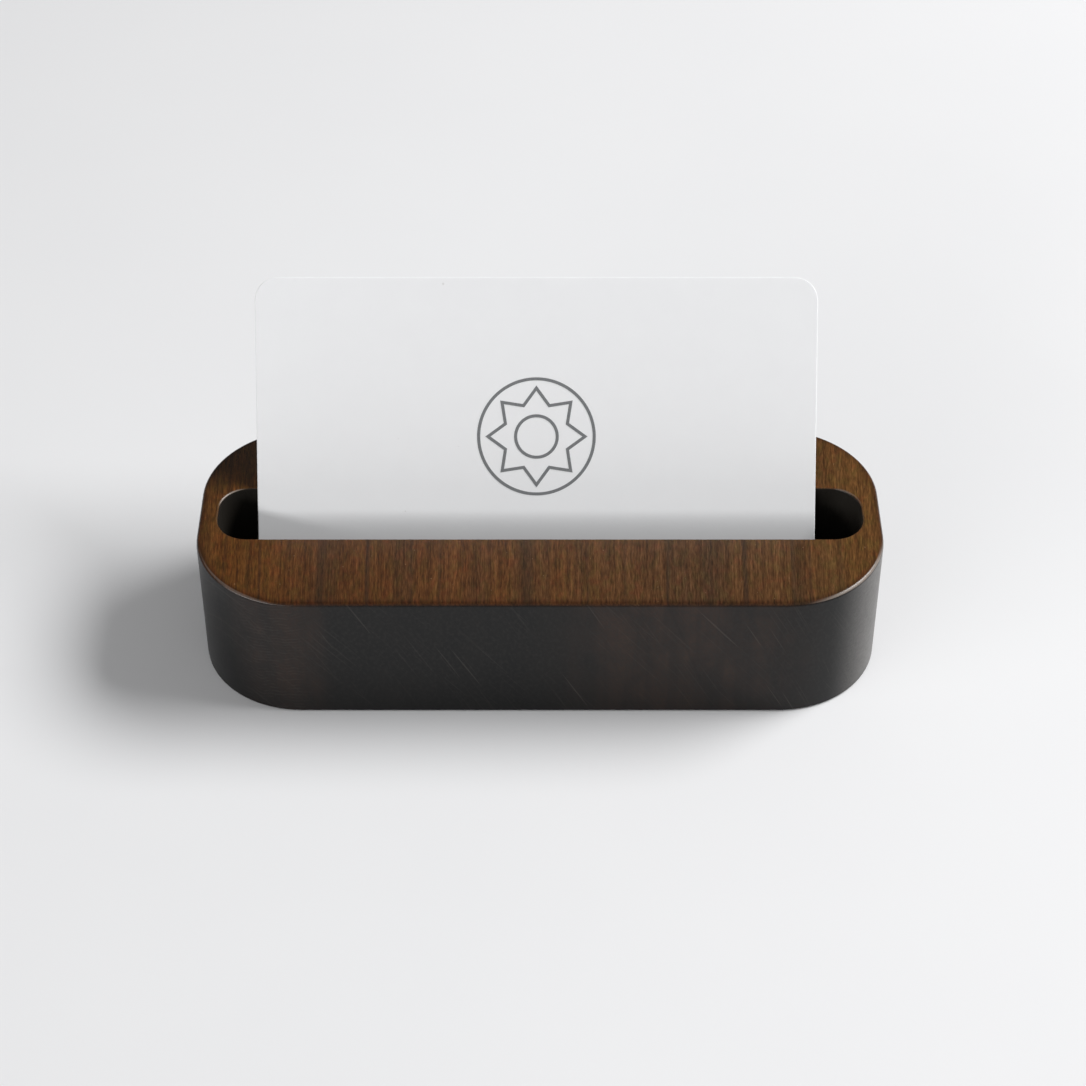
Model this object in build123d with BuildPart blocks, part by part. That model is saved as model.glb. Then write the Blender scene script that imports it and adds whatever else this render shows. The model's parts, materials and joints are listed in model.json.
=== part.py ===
from build123d import *
import os
from math import cos, radians, sin

os.makedirs("parts", exist_ok=True)

# A desk holder for business cards: one block of hardwood with a long slot, and a card in the slot.
# Lengths are in millimetres. The origin is the centre of the block's base, +Z is up, +X runs along
# the slot, and -Y is the front, the way the card faces.

# ---- Holder block ----
block_length = 110.0
block_depth = 43.5
block_height = 23.5
block_corner_radius = 16.6    # the four upright corners, seen from above
top_edge_round = 0.7          # eased outer edge of the top
base_edge_round = 0.5         # eased edge of the base

# ---- Slot, milled down from the top ----
slot_length = 104.0
slot_width = 12.4
slot_depth = 17.4
slot_corner_radius = 5.0      # the four upright corners of the slot
slot_rim_round = 0.4          # eased edge of the slot's mouth
slot_floor_round = 1.2        # left by the cutter all round the slot's floor

# ---- Business card ----
card_width = 91.0
card_height = 55.0
card_thickness = 0.5
card_corner_radius = 3.8
card_edge_round = 0.15        # the pressed, softened edge of thick card
card_lean = 33.6              # degrees back from upright
card_offset = -0.6            # along the slot, from its middle
card_clearance = 0.15         # between the card and the wood that it leans on


# The block is a rounded rectangle pulled straight up, with its outer edges eased.
slot_floor_height = block_height - slot_depth

with BuildPart() as holder_block:
    with BuildSketch(Plane.XY):
        RectangleRounded(block_length, block_depth, block_corner_radius)
    extrude(amount=block_height)
    fillet(holder_block.faces().sort_by(Axis.Z)[-1].edges(), top_edge_round)
    fillet(holder_block.faces().sort_by(Axis.Z)[0].edges(), base_edge_round)

    with BuildSketch(Plane.XY.offset(slot_floor_height)):
        RectangleRounded(slot_length, slot_width, slot_corner_radius)
    extrude(amount=slot_depth, mode=Mode.SUBTRACT)
    level_faces = holder_block.faces().filter_by(Plane.XY).sort_by(Axis.Z)
    slot_floor = level_faces[1]
    slot_mouth = level_faces[-1].inner_wires()[0]
    fillet(slot_floor.edges(), slot_floor_round)
    fillet(slot_mouth.edges(), slot_rim_round)

holder_block.part.label = "holder_block"
export_step(holder_block.part, "parts/holder_block.step")


# The card leans back on the rounded rear rim of the slot. Its lower edge stands in the rounded
# corner between the slot's floor and its front wall.
lean = radians(card_lean)
card_up = Vector(0, sin(lean), cos(lean))
card_facing = Vector(0, -cos(lean), sin(lean))

rim_centre = Vector(0, slot_width / 2 + slot_rim_round, block_height - slot_rim_round)
rim_contact = rim_centre + card_facing * (slot_rim_round + card_clearance)
foot_height = slot_floor_height + card_clearance
length_below_rim = (rim_contact.Z - foot_height) / cos(lean)
card_foot = rim_contact - card_up * length_below_rim + Vector(card_offset, 0, 0)
card_back = Plane(origin=card_foot, x_dir=(1, 0, 0), z_dir=card_facing)

with BuildPart() as business_card:
    with BuildSketch(card_back):
        RectangleRounded(
            card_width, card_height, card_corner_radius, align=(Align.CENTER, Align.MIN)
        )
    extrude(amount=card_thickness)
    card_outlines = business_card.faces().sort_by(SortBy.AREA)[-2:].edges()
    fillet(card_outlines, card_edge_round)

business_card.part.label = "business_card"
export_step(business_card.part, "parts/business_card.step")
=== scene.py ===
import json
from math import cos, pi, radians, sin, tau

import bpy
from mathutils import Matrix, Vector


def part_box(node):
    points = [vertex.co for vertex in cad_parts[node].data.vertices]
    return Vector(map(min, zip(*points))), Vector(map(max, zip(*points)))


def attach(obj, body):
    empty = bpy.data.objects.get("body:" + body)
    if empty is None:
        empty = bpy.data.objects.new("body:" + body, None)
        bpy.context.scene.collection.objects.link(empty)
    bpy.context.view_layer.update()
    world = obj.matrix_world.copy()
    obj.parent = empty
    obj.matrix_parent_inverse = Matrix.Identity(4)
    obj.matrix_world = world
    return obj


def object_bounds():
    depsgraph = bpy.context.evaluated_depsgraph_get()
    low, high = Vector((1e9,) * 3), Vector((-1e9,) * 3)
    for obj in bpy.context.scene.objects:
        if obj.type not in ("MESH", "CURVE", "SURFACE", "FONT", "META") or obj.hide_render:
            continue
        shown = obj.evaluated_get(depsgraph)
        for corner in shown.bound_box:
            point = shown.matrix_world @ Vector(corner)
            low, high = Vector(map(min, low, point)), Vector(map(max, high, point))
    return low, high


# A desk holder for business cards: a block of dark oiled hardwood, and a printed card leaning in its slot.
# Metres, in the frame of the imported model: +X along the slot, -Y the front, +Z up.
# The materials work in millimetres.
MM = 0.001

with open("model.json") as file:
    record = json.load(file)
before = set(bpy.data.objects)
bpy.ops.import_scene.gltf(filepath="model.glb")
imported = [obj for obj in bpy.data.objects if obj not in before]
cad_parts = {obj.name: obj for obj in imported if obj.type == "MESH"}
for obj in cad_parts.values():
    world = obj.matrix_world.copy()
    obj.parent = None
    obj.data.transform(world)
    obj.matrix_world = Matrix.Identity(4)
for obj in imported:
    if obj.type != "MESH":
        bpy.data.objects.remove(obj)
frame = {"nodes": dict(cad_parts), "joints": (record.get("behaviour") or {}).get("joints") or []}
cad_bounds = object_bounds()

BLOCK = "holder_block"
CARD = "business_card"
block_high_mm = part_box(BLOCK)[1] / MM
card_low, card_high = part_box(CARD)


# ---------------------------------------------------------------------------------------------
# Short calls for shader nodes
# ---------------------------------------------------------------------------------------------

class Shader:
    """One procedural material, with short calls that add nodes and link them."""

    def __init__(self, name):
        self.material = bpy.data.materials.new(name)
        self.material.use_nodes = True
        self.tree = self.material.node_tree
        self.surface = self.tree.nodes["Principled BSDF"]

    def feed(self, value, socket):
        """Links another node's output to a socket, or sets the socket's own value."""
        if isinstance(value, bpy.types.NodeSocket):
            self.tree.links.new(value, socket)
        else:
            socket.default_value = value

    def node(self, kind, inputs, **settings):
        made = self.tree.nodes.new(kind)
        for setting, value in settings.items():
            setattr(made, setting, value)
        for socket, value in inputs.items():
            self.feed(value, made.inputs[socket])
        return made

    def position_mm(self):
        """Where the point is on the object at rest, in millimetres."""
        place = self.tree.nodes.new("ShaderNodeTexCoord").outputs["Object"]
        return self.node("ShaderNodeVectorMath", {0: place, "Scale": 1 / MM}, operation="SCALE").outputs[0]

    def facing(self):
        """The X, Y and Z of the surface's normal."""
        return self.split(self.tree.nodes.new("ShaderNodeNewGeometry").outputs["Normal"])

    def split(self, vector):
        """The X, Y and Z of a vector."""
        return self.node("ShaderNodeSeparateXYZ", {0: vector}).outputs

    def join(self, x, y, z):
        return self.node("ShaderNodeCombineXYZ", {"X": x, "Y": y, "Z": z}).outputs[0]

    def math(self, operation, a, b=0.0):
        return self.node("ShaderNodeMath", {0: a, 1: b}, operation=operation).outputs[0]

    def times(self, first, *others):
        """The product of two or more numbers."""
        for other in others:
            first = self.math("MULTIPLY", first, other)
        return first

    def plus(self, a, b):
        return self.math("ADD", a, b)

    def minus(self, a, b):
        return self.math("SUBTRACT", a, b)

    def largest(self, first, *others):
        """The largest of two or more numbers."""
        for other in others:
            first = self.math("MAXIMUM", first, other)
        return first

    def away_from(self, value, middle):
        """How far the value is from the middle, on either side."""
        return self.math("ABSOLUTE", self.minus(value, middle))

    def step(self, value, start, end):
        """0 up to start, 1 from end, and a smooth rise between them. start may be above end."""
        return self.node(
            "ShaderNodeMapRange",
            {"Value": value, "From Min": start, "From Max": end},
            interpolation_type="SMOOTHSTEP",
        ).outputs[0]

    def spread(self, value, low, high):
        """Maps 0 to 1 onto low to high."""
        return self.node("ShaderNodeMapRange", {"Value": value, "To Min": low, "To Max": high}).outputs[0]

    def noise(self, place, cells, detail=2.0, roughness=0.5):
        """Noise with so many cells to a millimetre, or so many along each of X, Y and Z."""
        if isinstance(cells, tuple):
            place = self.node("ShaderNodeVectorMath", {0: place, 1: cells}, operation="MULTIPLY").outputs[0]
            cells = 1.0
        return self.node(
            "ShaderNodeTexNoise",
            {"Vector": place, "Scale": cells, "Detail": detail, "Roughness": roughness},
        ).outputs["Fac"]

    def blend(self, factor, a, b, mode="MIX"):
        """Mixes two colours."""
        made = self.node("ShaderNodeMix", {0: factor, 6: a, 7: b}, data_type="RGBA", blend_type=mode)
        return made.outputs[2]

    def tint(self, factor, colour, by):
        """The colour, multiplied by another one where the factor is 1."""
        return self.blend(factor, colour, self.blend(1.0, colour, by, mode="MULTIPLY"))

    def pick(self, factor, a, b):
        """Mixes two numbers."""
        return self.node("ShaderNodeMix", {0: factor, 2: a, 3: b}).outputs[0]

    def ramp(self, value, stops):
        """A colour for each value, from (value, colour) stops."""
        made = self.node("ShaderNodeValToRGB", {"Fac": value})
        elements = made.color_ramp.elements
        while len(elements) < len(stops):
            elements.new(1.0)
        for element, (place, colour) in zip(elements, stops):
            element.position = place
            element.color = colour
        return made.outputs["Color"]

    def bump(self, height, depth, strength):
        """A bump that is depth metres deep where height goes from 0 to 1."""
        made = self.node("ShaderNodeBump", {"Height": height, "Distance": depth, "Strength": strength})
        return made.outputs["Normal"]

    def finish(self, **inputs):
        """Sets the shader's own sockets, given by name with _ for a space."""
        for name, value in inputs.items():
            self.feed(value, self.surface.inputs[name.replace("_", " ")])
        return self.material


def rgb(red, green, blue):
    return (red, green, blue, 1.0)


# ---------------------------------------------------------------------------------------------
# What the wood looks like, and where
# ---------------------------------------------------------------------------------------------

# Growth rings. Each is a dark line on the top, given as its place along X and its width in millimetres,
# and how dark it is. They lean a little, so they drift sideways on their way down to the base.
GROWTH_LINES = (
    (-50.5, 0.6, 0.25),
    (-44.8, 0.5, 0.45),
    (-35.0, 1.3, 0.50),
    (-27.6, 0.7, 0.80),
    (-20.6, 0.6, 0.40),
    (-16.2, 0.5, 0.45),
    (-12.4, 0.4, 0.30),
    (-8.2, 1.0, 0.30),
    (-2.0, 2.2, 0.60),
    (4.7, 0.5, 0.25),
    (7.7, 0.6, 0.45),
    (13.6, 0.5, 0.40),
    (20.5, 0.6, 0.80),
    (27.4, 0.8, 0.25),
    (32.8, 0.8, 0.80),
    (40.6, 0.7, 0.65),
    (43.4, 0.5, 0.50),
    (48.3, 0.9, 0.30),
)
GROWTH_LINE_LEAN = 0.35
GROWTH_LINE_DRIFT_MM = 0.70     # to either side, as the line wanders
GROWTH_LINE_SOFT = (0.8, 0.15)  # how far out a line starts and is full, in its own widths
FIBRE_FAN = 0.0011              # how much the fibres spread towards the back, for each millimetre
CORNER_RADIUS_MM = 16.6         # of the block's outline

# Noise cells to a millimetre along X, Y and Z. The fibres lie along Y.
HAIR = (4.0, 0.44, 4.0)
STRAND = (1.7, 0.05, 1.7)
BAND = (0.20, 0.012, 0.20)
PORE = (5.0, 0.55, 5.0)
# Painted glints: pale specks that stand in for highlights on the top.
PAINTED_GLINT = (2.9, 1.5, 2.9)
FLECK = (0.9, 0.35, 0.9)
BLUSH = (0.55, 0.40, 0.55)
LINE_WANDER = (0.08, 0.022, 0.08)
STAIN_CLOUD = (0.11, 0.11, 0.05)
STAIN_MOTTLE = (0.13, 0.10, 0.12)
STAIN_STREAK = (0.40, 0.02, 0.03)
STAIN_SPECKLE = (1.7, 1.7, 1.3)

HAIR_SHARE = 0.58               # of the fibres' tone; the strands give the rest
GRAIN_TONES = (
    (0.36, rgb(0.061, 0.0235, 0.0065)),
    (0.46, rgb(0.109, 0.0430, 0.0125)),
    (0.54, rgb(0.156, 0.0640, 0.0195)),
    (0.66, rgb(0.245, 0.1040, 0.0340)),
)
# From the board's left end, 0, to its right end, 1: orange at first, duller in the middle, then lighter.
BOARD_TONES = (
    (0.06, rgb(0.71, 0.64, 0.40)),
    (0.18, rgb(0.55, 0.50, 0.42)),
    (0.28, rgb(0.60, 0.55, 0.46)),
    (0.40, rgb(0.69, 0.64, 0.60)),
    (0.50, rgb(0.68, 0.66, 0.61)),
    (0.58, rgb(0.63, 0.65, 0.67)),
    (0.67, rgb(0.59, 0.63, 0.74)),
    (0.78, rgb(0.61, 0.65, 0.71)),
    (0.88, rgb(0.64, 0.68, 0.70)),
    (0.95, rgb(0.80, 0.85, 0.74)),
)
DULL_TINT = rgb(0.78, 0.86, 1.05)
OLIVE_TINT = rgb(0.90, 1.02, 0.92)
RED_TINT = rgb(1.09, 0.96, 1.00)
OUTER_EDGE_TINT = rgb(0.56, 0.48, 0.45)
LINE_BROWN = rgb(0.020, 0.0125, 0.0080)
PORE_BROWN = rgb(0.018, 0.0085, 0.0040)
PAINTED_GLINT_TAN = rgb(0.28, 0.17, 0.09)
CARD_SHADOW_BROWN = rgb(0.010, 0.006, 0.004)

STAIN_TONES = ((0.36, rgb(0.0022, 0.0023, 0.0026)), (0.64, rgb(0.0058, 0.0052, 0.0048)))
RIGHT_END_SHEEN_TONES = ((0.38, rgb(0.112, 0.107, 0.102)), (0.62, rgb(0.168, 0.161, 0.154)))
WARM_BROWN = rgb(0.0310, 0.0160, 0.0105)
STREAK_BLACK = rgb(0.004, 0.004, 0.004)
LINE_BLACK = rgb(0.0035, 0.0034, 0.0034)
SPECKLE_GREY = rgb(0.0140, 0.0125, 0.0115)
PAINTED_LOW_SHADE = rgb(0.55, 0.55, 0.55)
SCRATCH_PALE = rgb(0.030, 0.026, 0.023)
SLOT_BROWN_WITH_PAINTED_LIGHT = rgb(0.0200, 0.0175, 0.0145)
PAINTED_HIGHLIGHT_PALE = rgb(0.42, 0.37, 0.33)

# Reddish patches on the stained front, as their place along X and their half width in millimetres.
WARM_PATCHES = ((-41.0, 9.0), (23.0, 25.0))
WARM_PATCH_CORE = 0.3           # of the half width, where the patch is full

# Where a feature starts and where it is full, in millimetres: as places,
# the painted shadow that the card casts from the key light onto the back left of the top,
CARD_SHADOW_X_MM = (-32.0, -48.0)
CARD_SHADOW_Y_MM = (2.0, 13.0)
# the painted shade towards the base of the upright faces,
LOW_SHADE_Z_MM = (14.0, 1.0)
# as depths in from the block's outline,
OUTSIDE_DEPTH_MM = (2.6, 1.6)
OUTER_EDGE_DEPTH_MM = (1.6, 0.3)
# and as depths under the block's top.
TOP_DEPTH_MM = (3.0, 2.0)
TOP_EDGE_DEPTH_MM = (1.2, 0.9)

# Sanding scratches run down to the right at two slopes, in degrees below level.
SCRATCH_SLOPES = (50.0, 61.0)
SCRATCH_SHEET_GAP = 7.0         # keeps the noise of the two slopes apart
# Noise cells to a millimetre along a scratch and across it, and for each unit of that gap.
SCRATCH_FINE = (0.05, 3.0, 1.0)
SCRATCH_BOLD = (0.055, 1.9, 3.0)
SCRATCH_PATCH = (0.06, 0.09, 5.0)

# Marks that the cutter left round the front left corner.
CHATTER_PITCH_MM = 0.67
CHATTER_MIDDLE_MM = -43.0       # along X
CHATTER_REACH_MM = (8.0, 3.0)   # how far from the middle they start and are full
CHATTER_WAVER_TURNS = 7.0
CHATTER_WAVER = (0.16, 0.16, 0.05)
CHATTER_RAGGED = (0.5, 0.5, 1.2)

SURFACE_RELIEF = 0.02 * MM      # of the wood's and the paper's fibres


# ---------------------------------------------------------------------------------------------
# Materials
# ---------------------------------------------------------------------------------------------

def inside_outline(wood, x, y):
    """How far inside the block's outline each point is, seen from above, in millimetres."""
    past_x = wood.minus(wood.math("ABSOLUTE", x), block_high_mm.x - CORNER_RADIUS_MM)
    past_y = wood.minus(wood.math("ABSOLUTE", y), block_high_mm.y - CORNER_RADIUS_MM)
    corner_x = wood.largest(past_x, 0.0)
    corner_y = wood.largest(past_y, 0.0)
    around = wood.math("SQRT", wood.plus(wood.times(corner_x, corner_x), wood.times(corner_y, corner_y)))
    straight = wood.math("MINIMUM", wood.largest(past_x, past_y), 0.0)
    return wood.minus(CORNER_RADIUS_MM, wood.plus(around, straight))


def near_top(wood, z, depths):
    """1 at the block's top, and 0 from the first of the two depths down."""
    start, full = depths
    return wood.step(z, block_high_mm.z - start, block_high_mm.z - full)


def growth_lines(wood, place, x, z):
    """How dark the growth rings make each point, from 0 to 1."""
    drift = wood.noise(place, LINE_WANDER, detail=3.0)
    across = wood.plus(x, wood.times(z, GROWTH_LINE_LEAN))
    across = wood.plus(across, wood.spread(drift, -GROWTH_LINE_DRIFT_MM, GROWTH_LINE_DRIFT_MM))
    top_shift = GROWTH_LINE_LEAN * block_high_mm.z
    start, full = GROWTH_LINE_SOFT
    rings = []
    for line, width, strength in GROWTH_LINES:
        near = wood.step(wood.away_from(across, line + top_shift), start * width, full * width)
        rings.append(wood.times(near, strength))
    return wood.largest(*rings)


def long_grain(wood, place, x, y, lines):
    """The brown top, where the fibres lie along Y. Returns its colour and its relief."""
    hair = wood.noise(place, HAIR, detail=3.0, roughness=0.62)
    strand = wood.noise(place, STRAND, detail=3.0, roughness=0.6)
    fibre = wood.plus(wood.times(hair, HAIR_SHARE), wood.times(strand, 1.0 - HAIR_SHARE))
    tone = wood.ramp(fibre, GRAIN_TONES)

    ends = {"From Min": -block_high_mm.x, "From Max": block_high_mm.x}
    along = wood.node("ShaderNodeMapRange", {"Value": x, **ends}).outputs[0]
    tone = wood.blend(1.0, tone, wood.ramp(along, BOARD_TONES), mode="MULTIPLY")
    tone = wood.tint(wood.step(wood.noise(place, BAND), 0.44, 0.62), tone, DULL_TINT)
    tone = wood.tint(wood.step(wood.noise(place, FLECK), 0.48, 0.60), tone, OLIVE_TINT)
    tone = wood.tint(wood.step(wood.noise(place, BLUSH), 0.52, 0.66), tone, RED_TINT)

    pores = wood.step(wood.noise(place, PORE, detail=1.0), 0.64, 0.76)
    # Painted glints: small pale tan specks that stand in for highlights on the oiled top.
    painted_glints = wood.step(wood.noise(place, PAINTED_GLINT, detail=0.0), 0.83, 0.87)
    # Painted shadow: the card's shadow from the key light, darkening the back left of the top.
    painted_card_shadow = wood.times(wood.step(x, *CARD_SHADOW_X_MM), wood.step(y, *CARD_SHADOW_Y_MM))
    tone = wood.blend(wood.times(lines, 0.66), tone, LINE_BROWN)
    tone = wood.blend(wood.times(pores, 0.42), tone, PORE_BROWN)
    tone = wood.blend(wood.times(painted_glints, 0.4), tone, PAINTED_GLINT_TAN)
    tone = wood.blend(wood.times(painted_card_shadow, 0.68), tone, CARD_SHADOW_BROWN)
    return tone, wood.minus(fibre, wood.times(pores, 0.4))


def scratches(wood, round_block, z):
    """Fine sanding scratches on the upright faces, from 0 to 1."""
    found = []
    for number, slope in enumerate(SCRATCH_SLOPES):
        down, level = sin(radians(slope)), cos(radians(slope))
        along = wood.minus(wood.times(round_block, level), wood.times(z, down))
        across = wood.plus(wood.times(round_block, down), wood.times(z, level))
        sheet = wood.join(along, across, SCRATCH_SHEET_GAP * number)
        patch = wood.step(wood.noise(sheet, SCRATCH_PATCH, detail=1.0), 0.42, 0.62)
        fine = wood.step(wood.noise(sheet, SCRATCH_FINE, detail=1.0), 0.58, 0.76)
        bold = wood.step(wood.noise(sheet, SCRATCH_BOLD, detail=0.0), 0.77, 0.83)
        found.append(wood.times(fine, wood.spread(patch, 0.05, 0.34)))
        found.append(wood.times(bold, 0.6))
    return wood.largest(*found)


def chatter(wood, place, x, z):
    """Short level strokes, one above the other, round the front left corner. From 0 to 1."""
    waver = wood.times(wood.noise(place, CHATTER_WAVER), CHATTER_WAVER_TURNS)
    turns = wood.plus(wood.math("DIVIDE", z, CHATTER_PITCH_MM), waver)
    wave = wood.math("SINE", wood.times(turns, tau))
    ragged = wood.step(wood.noise(place, CHATTER_RAGGED), 0.40, 0.62)
    corner = wood.step(wood.away_from(x, CHATTER_MIDDLE_MM), *CHATTER_REACH_MM)
    return wood.times(wood.step(wave, 0.1, 0.9), ragged, corner)


def stained_end_grain(wood, place, x, z, toward_x, relief, lines, marks):
    """The upright faces: end grain that has drunk in more of the stain, so it is nearly black.

    Returns their colour, and the clouds that their roughness follows too.
    """
    cloud = wood.noise(place, STAIN_CLOUD, detail=4.0, roughness=0.6)
    tone = wood.ramp(cloud, STAIN_TONES)

    streak = wood.noise(place, STAIN_STREAK, detail=3.0)
    mottle = wood.noise(place, STAIN_MOTTLE, detail=4.0, roughness=0.6)
    patches = [
        wood.step(wood.away_from(x, middle), half_width, WARM_PATCH_CORE * half_width)
        for middle, half_width in WARM_PATCHES
    ]
    mottled = wood.spread(wood.step(mottle, 0.30, 0.66), 0.30, 0.95)
    streaked = wood.spread(wood.step(streak, 0.56, 0.40), 0.66, 1.0)
    tone = wood.blend(wood.times(wood.largest(*patches), mottled, streaked), tone, WARM_BROWN)

    speckle = wood.noise(place, STAIN_SPECKLE, detail=3.0, roughness=0.6)
    tone = wood.blend(wood.times(wood.step(streak, 0.5, 0.7), 0.35), tone, STREAK_BLACK)
    tone = wood.blend(wood.times(lines, 0.35), tone, LINE_BLACK)
    tone = wood.blend(wood.times(wood.step(speckle, 0.44, 0.66), 0.5), tone, SPECKLE_GREY)
    # Painted shade: the upright faces darken towards the base, where they reflect the shaded table beside
    # the block.
    tone = wood.tint(wood.step(z, *LOW_SHADE_Z_MM), tone, PAINTED_LOW_SHADE)

    # Painted sheen: faces towards +X, which catch the key light and reflect the lit table at a grazing
    # angle, are painted greyer and lighter.
    tone = wood.blend(wood.step(toward_x, 0.45, 1.0), tone, wood.ramp(relief, RIGHT_END_SHEEN_TONES))
    scratched = wood.blend(1.0, tone, SCRATCH_PALE, mode="ADD")
    return wood.blend(marks, tone, scratched), cloud


def painted_edge_highlight(wood, z, toward_x, toward_y, upward):
    """Painted highlight on the top's rounded edges, where the lights glance off them: most towards the
    front right, less towards the front left.
    """
    rounded = wood.times(
        wood.step(upward, 0.40, 0.62),
        wood.step(upward, 0.999, 0.985),
        near_top(wood, z, TOP_EDGE_DEPTH_MM),
        wood.step(toward_y, -0.04, -0.28),
    )
    to_right = wood.step(toward_x, 0.12, 0.42)
    to_left = wood.times(wood.step(toward_x, -0.10, -0.30), wood.step(toward_x, -0.62, -0.45))
    return wood.times(wood.plus(to_right, wood.times(to_left, 0.35)), rounded, 0.48)


def hardwood():
    """Dark oiled hardwood: brown long grain on the top, and stained end grain all round."""
    wood = Shader("dark_hardwood")
    place = wood.position_mm()
    x, y, z = wood.split(place)
    toward_x, toward_y, upward = wood.facing()
    fanned = wood.times(x, wood.minus(1.0, wood.times(y, FIBRE_FAN)))
    fibres = wood.join(fanned, y, z)
    lines = growth_lines(wood, fibres, fanned, z)
    grain_colour, relief = long_grain(wood, fibres, x, y, lines)

    depth = inside_outline(wood, x, y)
    outside = wood.step(depth, *OUTSIDE_DEPTH_MM)
    marks = wood.largest(wood.times(chatter(wood, place, x, z), 0.30), scratches(wood, wood.plus(x, y), z))
    marks = wood.times(marks, outside)
    side_colour, cloud = stained_end_grain(wood, place, x, z, toward_x, relief, lines, marks)
    # Inside the slot the wood is brown, and is made lighter than the stained outside to paint in light
    # reflected into the slot.
    side_colour = wood.blend(outside, SLOT_BROWN_WITH_PAINTED_LIGHT, side_colour)

    # Only the top shows the long grain, which is darker along its outer edge. The floor of the slot is as
    # dark as its walls.
    top = wood.times(wood.step(upward, 0.28, 0.86), near_top(wood, z, TOP_DEPTH_MM))
    grain_colour = wood.tint(wood.step(depth, *OUTER_EDGE_DEPTH_MM), grain_colour, OUTER_EDGE_TINT)
    colour = wood.blend(top, side_colour, grain_colour)
    # Painted highlight: pale colour on the rounded edges where the lights' highlights fall.
    colour = wood.blend(painted_edge_highlight(wood, z, toward_x, toward_y, upward), colour, PAINTED_HIGHLIGHT_PALE)

    # The eased edges are worn smooth.
    flat = wood.step(upward, 0.90, 0.995)
    edge = wood.times(wood.step(upward, 0.05, 0.30), wood.minus(1.0, flat))
    height = wood.minus(wood.times(relief, flat), wood.times(marks, 0.25))
    roughness = wood.pick(top, wood.spread(cloud, 0.32, 0.46), wood.spread(relief, 0.16, 0.28))
    return wood.finish(
        Base_Color=colour,
        Roughness=wood.pick(edge, roughness, 0.27),
        IOR=1.35,
        Normal=wood.bump(height, SURFACE_RELIEF, 0.5),
    )


def card_stock():
    """Thick uncoated white paper with a faint tooth and a few specks."""
    paper = Shader("card_stock")
    place = paper.position_mm()
    tooth = paper.noise(place, 2.6, detail=4.0, roughness=0.7)
    felt = paper.noise(place, 0.22, detail=4.0)
    specks = paper.step(paper.noise(place, 0.8, detail=0.0), 0.875, 0.89)
    tone = paper.ramp(felt, ((0.3, rgb(0.870, 0.874, 0.886)), (0.7, rgb(0.880, 0.885, 0.896))))
    return paper.finish(
        Base_Color=paper.blend(paper.times(specks, 0.3), tone, rgb(0.45, 0.44, 0.42)),
        Roughness=paper.spread(tooth, 0.78, 0.92),
        Specular_IOR_Level=0.25,
        Normal=paper.bump(tooth, SURFACE_RELIEF, 0.35),
    )


def printed_ink():
    """Grey ink that has sunk a little into the paper, so its density varies."""
    ink = Shader("printed_ink")
    soak = ink.noise(ink.position_mm(), 4.0, detail=3.0, roughness=0.6)
    tone = ink.ramp(soak, ((0.3, rgb(0.165, 0.172, 0.178)), (0.7, rgb(0.215, 0.222, 0.228))))
    return ink.finish(Base_Color=tone, Roughness=ink.spread(soak, 0.6, 0.8), Specular_IOR_Level=0.25)


def table_top():
    """A plain pale matt surface."""
    table = Shader("pale_table")
    mottle = table.noise(table.position_mm(), 0.02, detail=3.0)
    tone = table.ramp(mottle, ((0.3, rgb(0.795, 0.797, 0.808)), (0.7, rgb(0.805, 0.807, 0.816))))
    return table.finish(Base_Color=tone, Roughness=0.9, Specular_IOR_Level=0.1)


def give_material(thing, material):
    thing.data.materials.clear()
    thing.data.materials.append(material)


def add_object(name, data):
    thing = bpy.data.objects.new(name, data)
    bpy.context.scene.collection.objects.link(thing)
    return thing


# ---------------------------------------------------------------------------------------------
# The printed emblem: an eight-pointed star between two rings, in thin lines
# ---------------------------------------------------------------------------------------------

EMBLEM_RADIUS = 9.4 * MM
STAR_TIPS = 0.84 * EMBLEM_RADIUS
STAR_NOTCHES = 0.58 * EMBLEM_RADIUS
INNER_RING_RADIUS = 0.36 * EMBLEM_RADIUS
STAR_POINTS = 8
RING_STEPS = 128
EMBLEM_RISE = 1.7 * MM          # of its centre, up the card from the card's middle
LINE_WIDTH = 0.5 * MM
INK_PROUD = 0.03 * MM           # above the paper
INK_SUNK = 0.02 * MM            # below its surface, so that no gap shows


def on_circle(radius, angle):
    return Vector((radius * cos(angle), radius * sin(angle)))


def ring_outline(radius):
    return [on_circle(radius, tau * i / RING_STEPS) for i in range(RING_STEPS)]


def star_outline():
    radii = (STAR_TIPS, STAR_NOTCHES)
    return [on_circle(radii[i % 2], pi / 2 + pi * i / STAR_POINTS) for i in range(2 * STAR_POINTS)]


def mitred(outline, shift):
    """The closed outline moved sideways by shift, with sharp corners."""
    moved = []
    for i, corner in enumerate(outline):
        before = (corner - outline[i - 1]).normalized()
        after = (outline[(i + 1) % len(outline)] - corner).normalized()
        side_before = Vector((before.y, -before.x))
        side_after = Vector((after.y, -after.x))
        middle = (side_before + side_after).normalized()
        moved.append(corner + middle * (shift / middle.dot(side_before)))
    return moved


def add_line(vertices, faces, outline):
    """A closed line of even width as a thin solid band, lying on the plane of the outline."""
    start = len(vertices)
    count = len(outline)
    for shift in (-LINE_WIDTH / 2, LINE_WIDTH / 2):
        for level in (-INK_SUNK, INK_PROUD):
            vertices.extend((p.x, p.y, level) for p in mitred(outline, shift))
    inner_low, inner_high, outer_low, outer_high = (start + count * k for k in range(4))
    for i in range(count):
        j = (i + 1) % count
        faces.append((inner_high + i, outer_high + i, outer_high + j, inner_high + j))
        faces.append((inner_low + j, outer_low + j, outer_low + i, inner_low + i))
        faces.append((outer_low + i, outer_low + j, outer_high + j, outer_high + i))
        faces.append((inner_low + j, inner_low + i, inner_high + i, inner_high + j))


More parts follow.
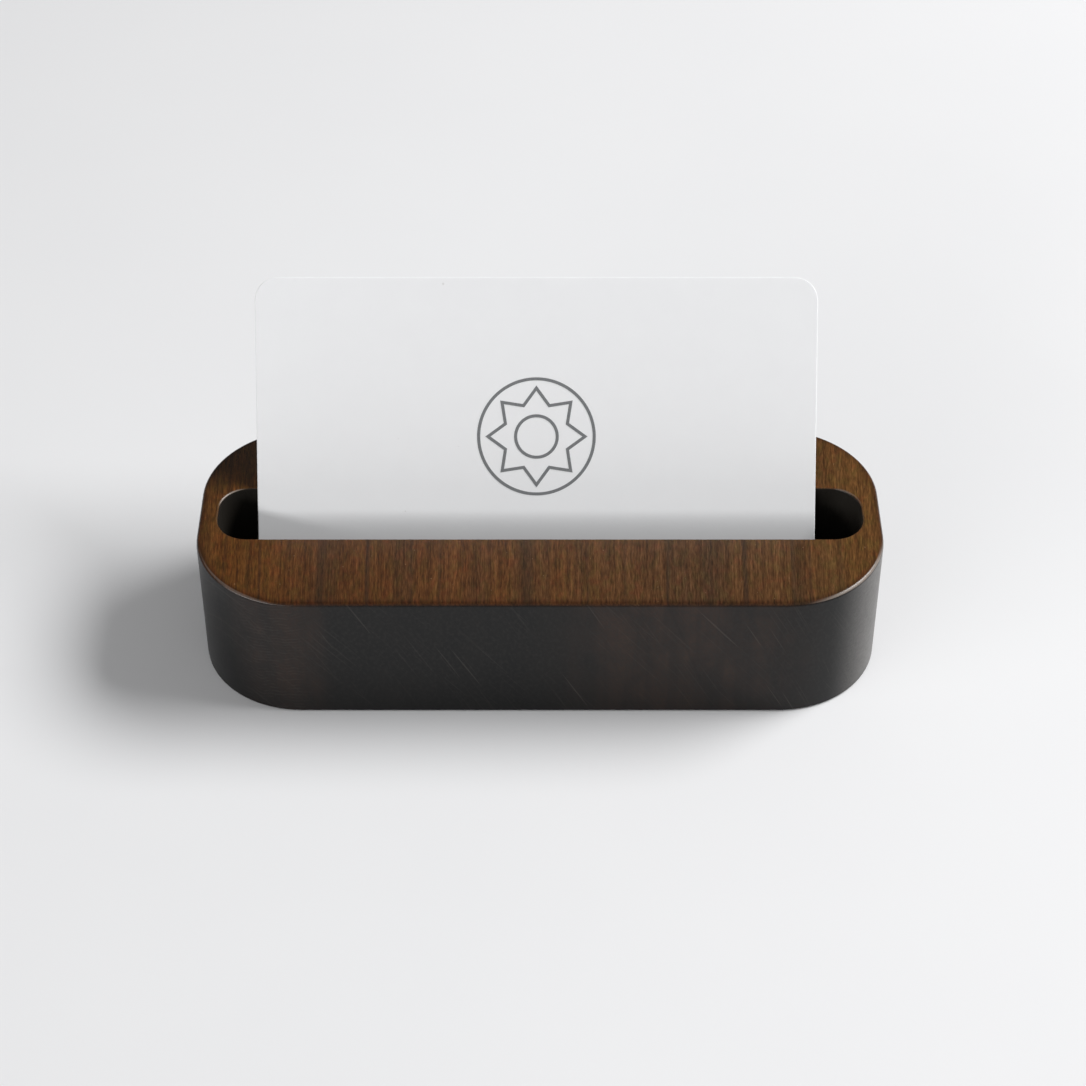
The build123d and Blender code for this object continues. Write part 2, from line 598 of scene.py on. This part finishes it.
def card_plane():
    """The middle of the card's front, its direction up the card, and the direction that it faces."""
    corners = [v.co for v in frame["nodes"][CARD].data.vertices]
    lift = Vector(frame["joints"][0]["axis"]).normalized()
    across = Vector((1.0, 0.0, 0.0))
    facing = across.cross(lift)
    middle_x = (card_low.x + card_high.x) / 2
    along = [c.dot(lift) for c in corners]
    front = max(c.dot(facing) for c in corners)
    middle = across * middle_x + lift * ((min(along) + max(along)) / 2) + facing * front
    return middle, lift, facing


def build_emblem():
    vertices, faces = [], []
    add_line(vertices, faces, ring_outline(EMBLEM_RADIUS))
    add_line(vertices, faces, star_outline())
    add_line(vertices, faces, ring_outline(INNER_RING_RADIUS))
    mesh = bpy.data.meshes.new("card_emblem")
    mesh.from_pydata(vertices, [], faces)
    middle, up, facing = card_plane()
    turn = Matrix((up.cross(facing), up, facing)).transposed().to_4x4()
    mesh.transform(Matrix.Translation(middle + up * EMBLEM_RISE) @ turn)
    mesh.update()
    return add_object("card_emblem", mesh)


# ---------------------------------------------------------------------------------------------
# Surroundings
# ---------------------------------------------------------------------------------------------

TABLE_HALF = 4.0

# Oval lights that point at the object, all from the same distance. Each has its name, its azimuth from +X
# towards +Y and its elevation in degrees, its width and height, and its power in watts.
LIGHT_DISTANCE = 1.3
SOFTBOXES = (
    ("key_right", 12.2, 44.2, 0.94, 0.56, 18.9),
    ("window_front_left", 223.0, 17.5, 1.60, 0.13, 8.2),
    ("fill_front", 265.0, 45.0, 1.80, 1.40, 1.3),
)
STUDIO_WHITE = rgb(1.0, 1.0, 1.0)
STUDIO_STRENGTH = 0.174

# The camera looks down on the front.
CAMERA_PITCH = radians(41.66)
CAMERA_DISTANCE = 0.4632
CAMERA_TARGET = Vector((0.47 * MM, 19.1 * MM, 0.0))
CAMERA_CLIP_START = 0.01
SENSOR_WIDTH_MM = 36.0
LENS_MM = 88.9


def build_table():
    mesh = bpy.data.meshes.new("table")
    signs = ((-1, -1), (1, -1), (1, 1), (-1, 1))
    mesh.from_pydata([(x * TABLE_HALF, y * TABLE_HALF, 0.0) for x, y in signs], [], [(0, 1, 2, 3)])
    table = add_object("table", mesh)
    table.location.z = cad_bounds[0].z
    give_material(table, table_top())


def build_lights():
    for name, azimuth, elevation, width, height, watts in SOFTBOXES:
        light = bpy.data.lights.new(name, "AREA")
        light.shape = "ELLIPSE"
        light.size = width
        light.size_y = height
        light.energy = watts
        a, e = radians(azimuth), radians(elevation)
        away = Vector((cos(a) * cos(e), sin(a) * cos(e), sin(e)))
        lamp = add_object(name, light)
        lamp.location = away * LIGHT_DISTANCE
        lamp.rotation_euler = away.to_track_quat("Z", "Y").to_euler()
    world = bpy.data.worlds.new("studio")
    world.use_nodes = True
    background = world.node_tree.nodes["Background"]
    background.inputs["Color"].default_value = STUDIO_WHITE
    background.inputs["Strength"].default_value = STUDIO_STRENGTH
    bpy.context.scene.world = world


def build_camera():
    data = bpy.data.cameras.new("camera")
    data.sensor_width = SENSOR_WIDTH_MM
    data.lens = LENS_MM
    data.clip_start = CAMERA_CLIP_START
    camera = add_object("camera", data)
    away = Vector((0.0, -cos(CAMERA_PITCH), sin(CAMERA_PITCH)))
    camera.location = CAMERA_TARGET + away * CAMERA_DISTANCE
    camera.rotation_euler = (pi / 2 - CAMERA_PITCH, 0.0, 0.0)
    bpy.context.scene.camera = camera


# ---------------------------------------------------------------------------------------------
# The scene
# ---------------------------------------------------------------------------------------------

build_camera()
build_lights()
build_table()

give_material(frame["nodes"][BLOCK], hardwood())
give_material(frame["nodes"][CARD], card_stock())

emblem = build_emblem()
give_material(emblem, printed_ink())
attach(emblem, "card")

bpy.context.scene.view_settings.view_transform = "Standard"
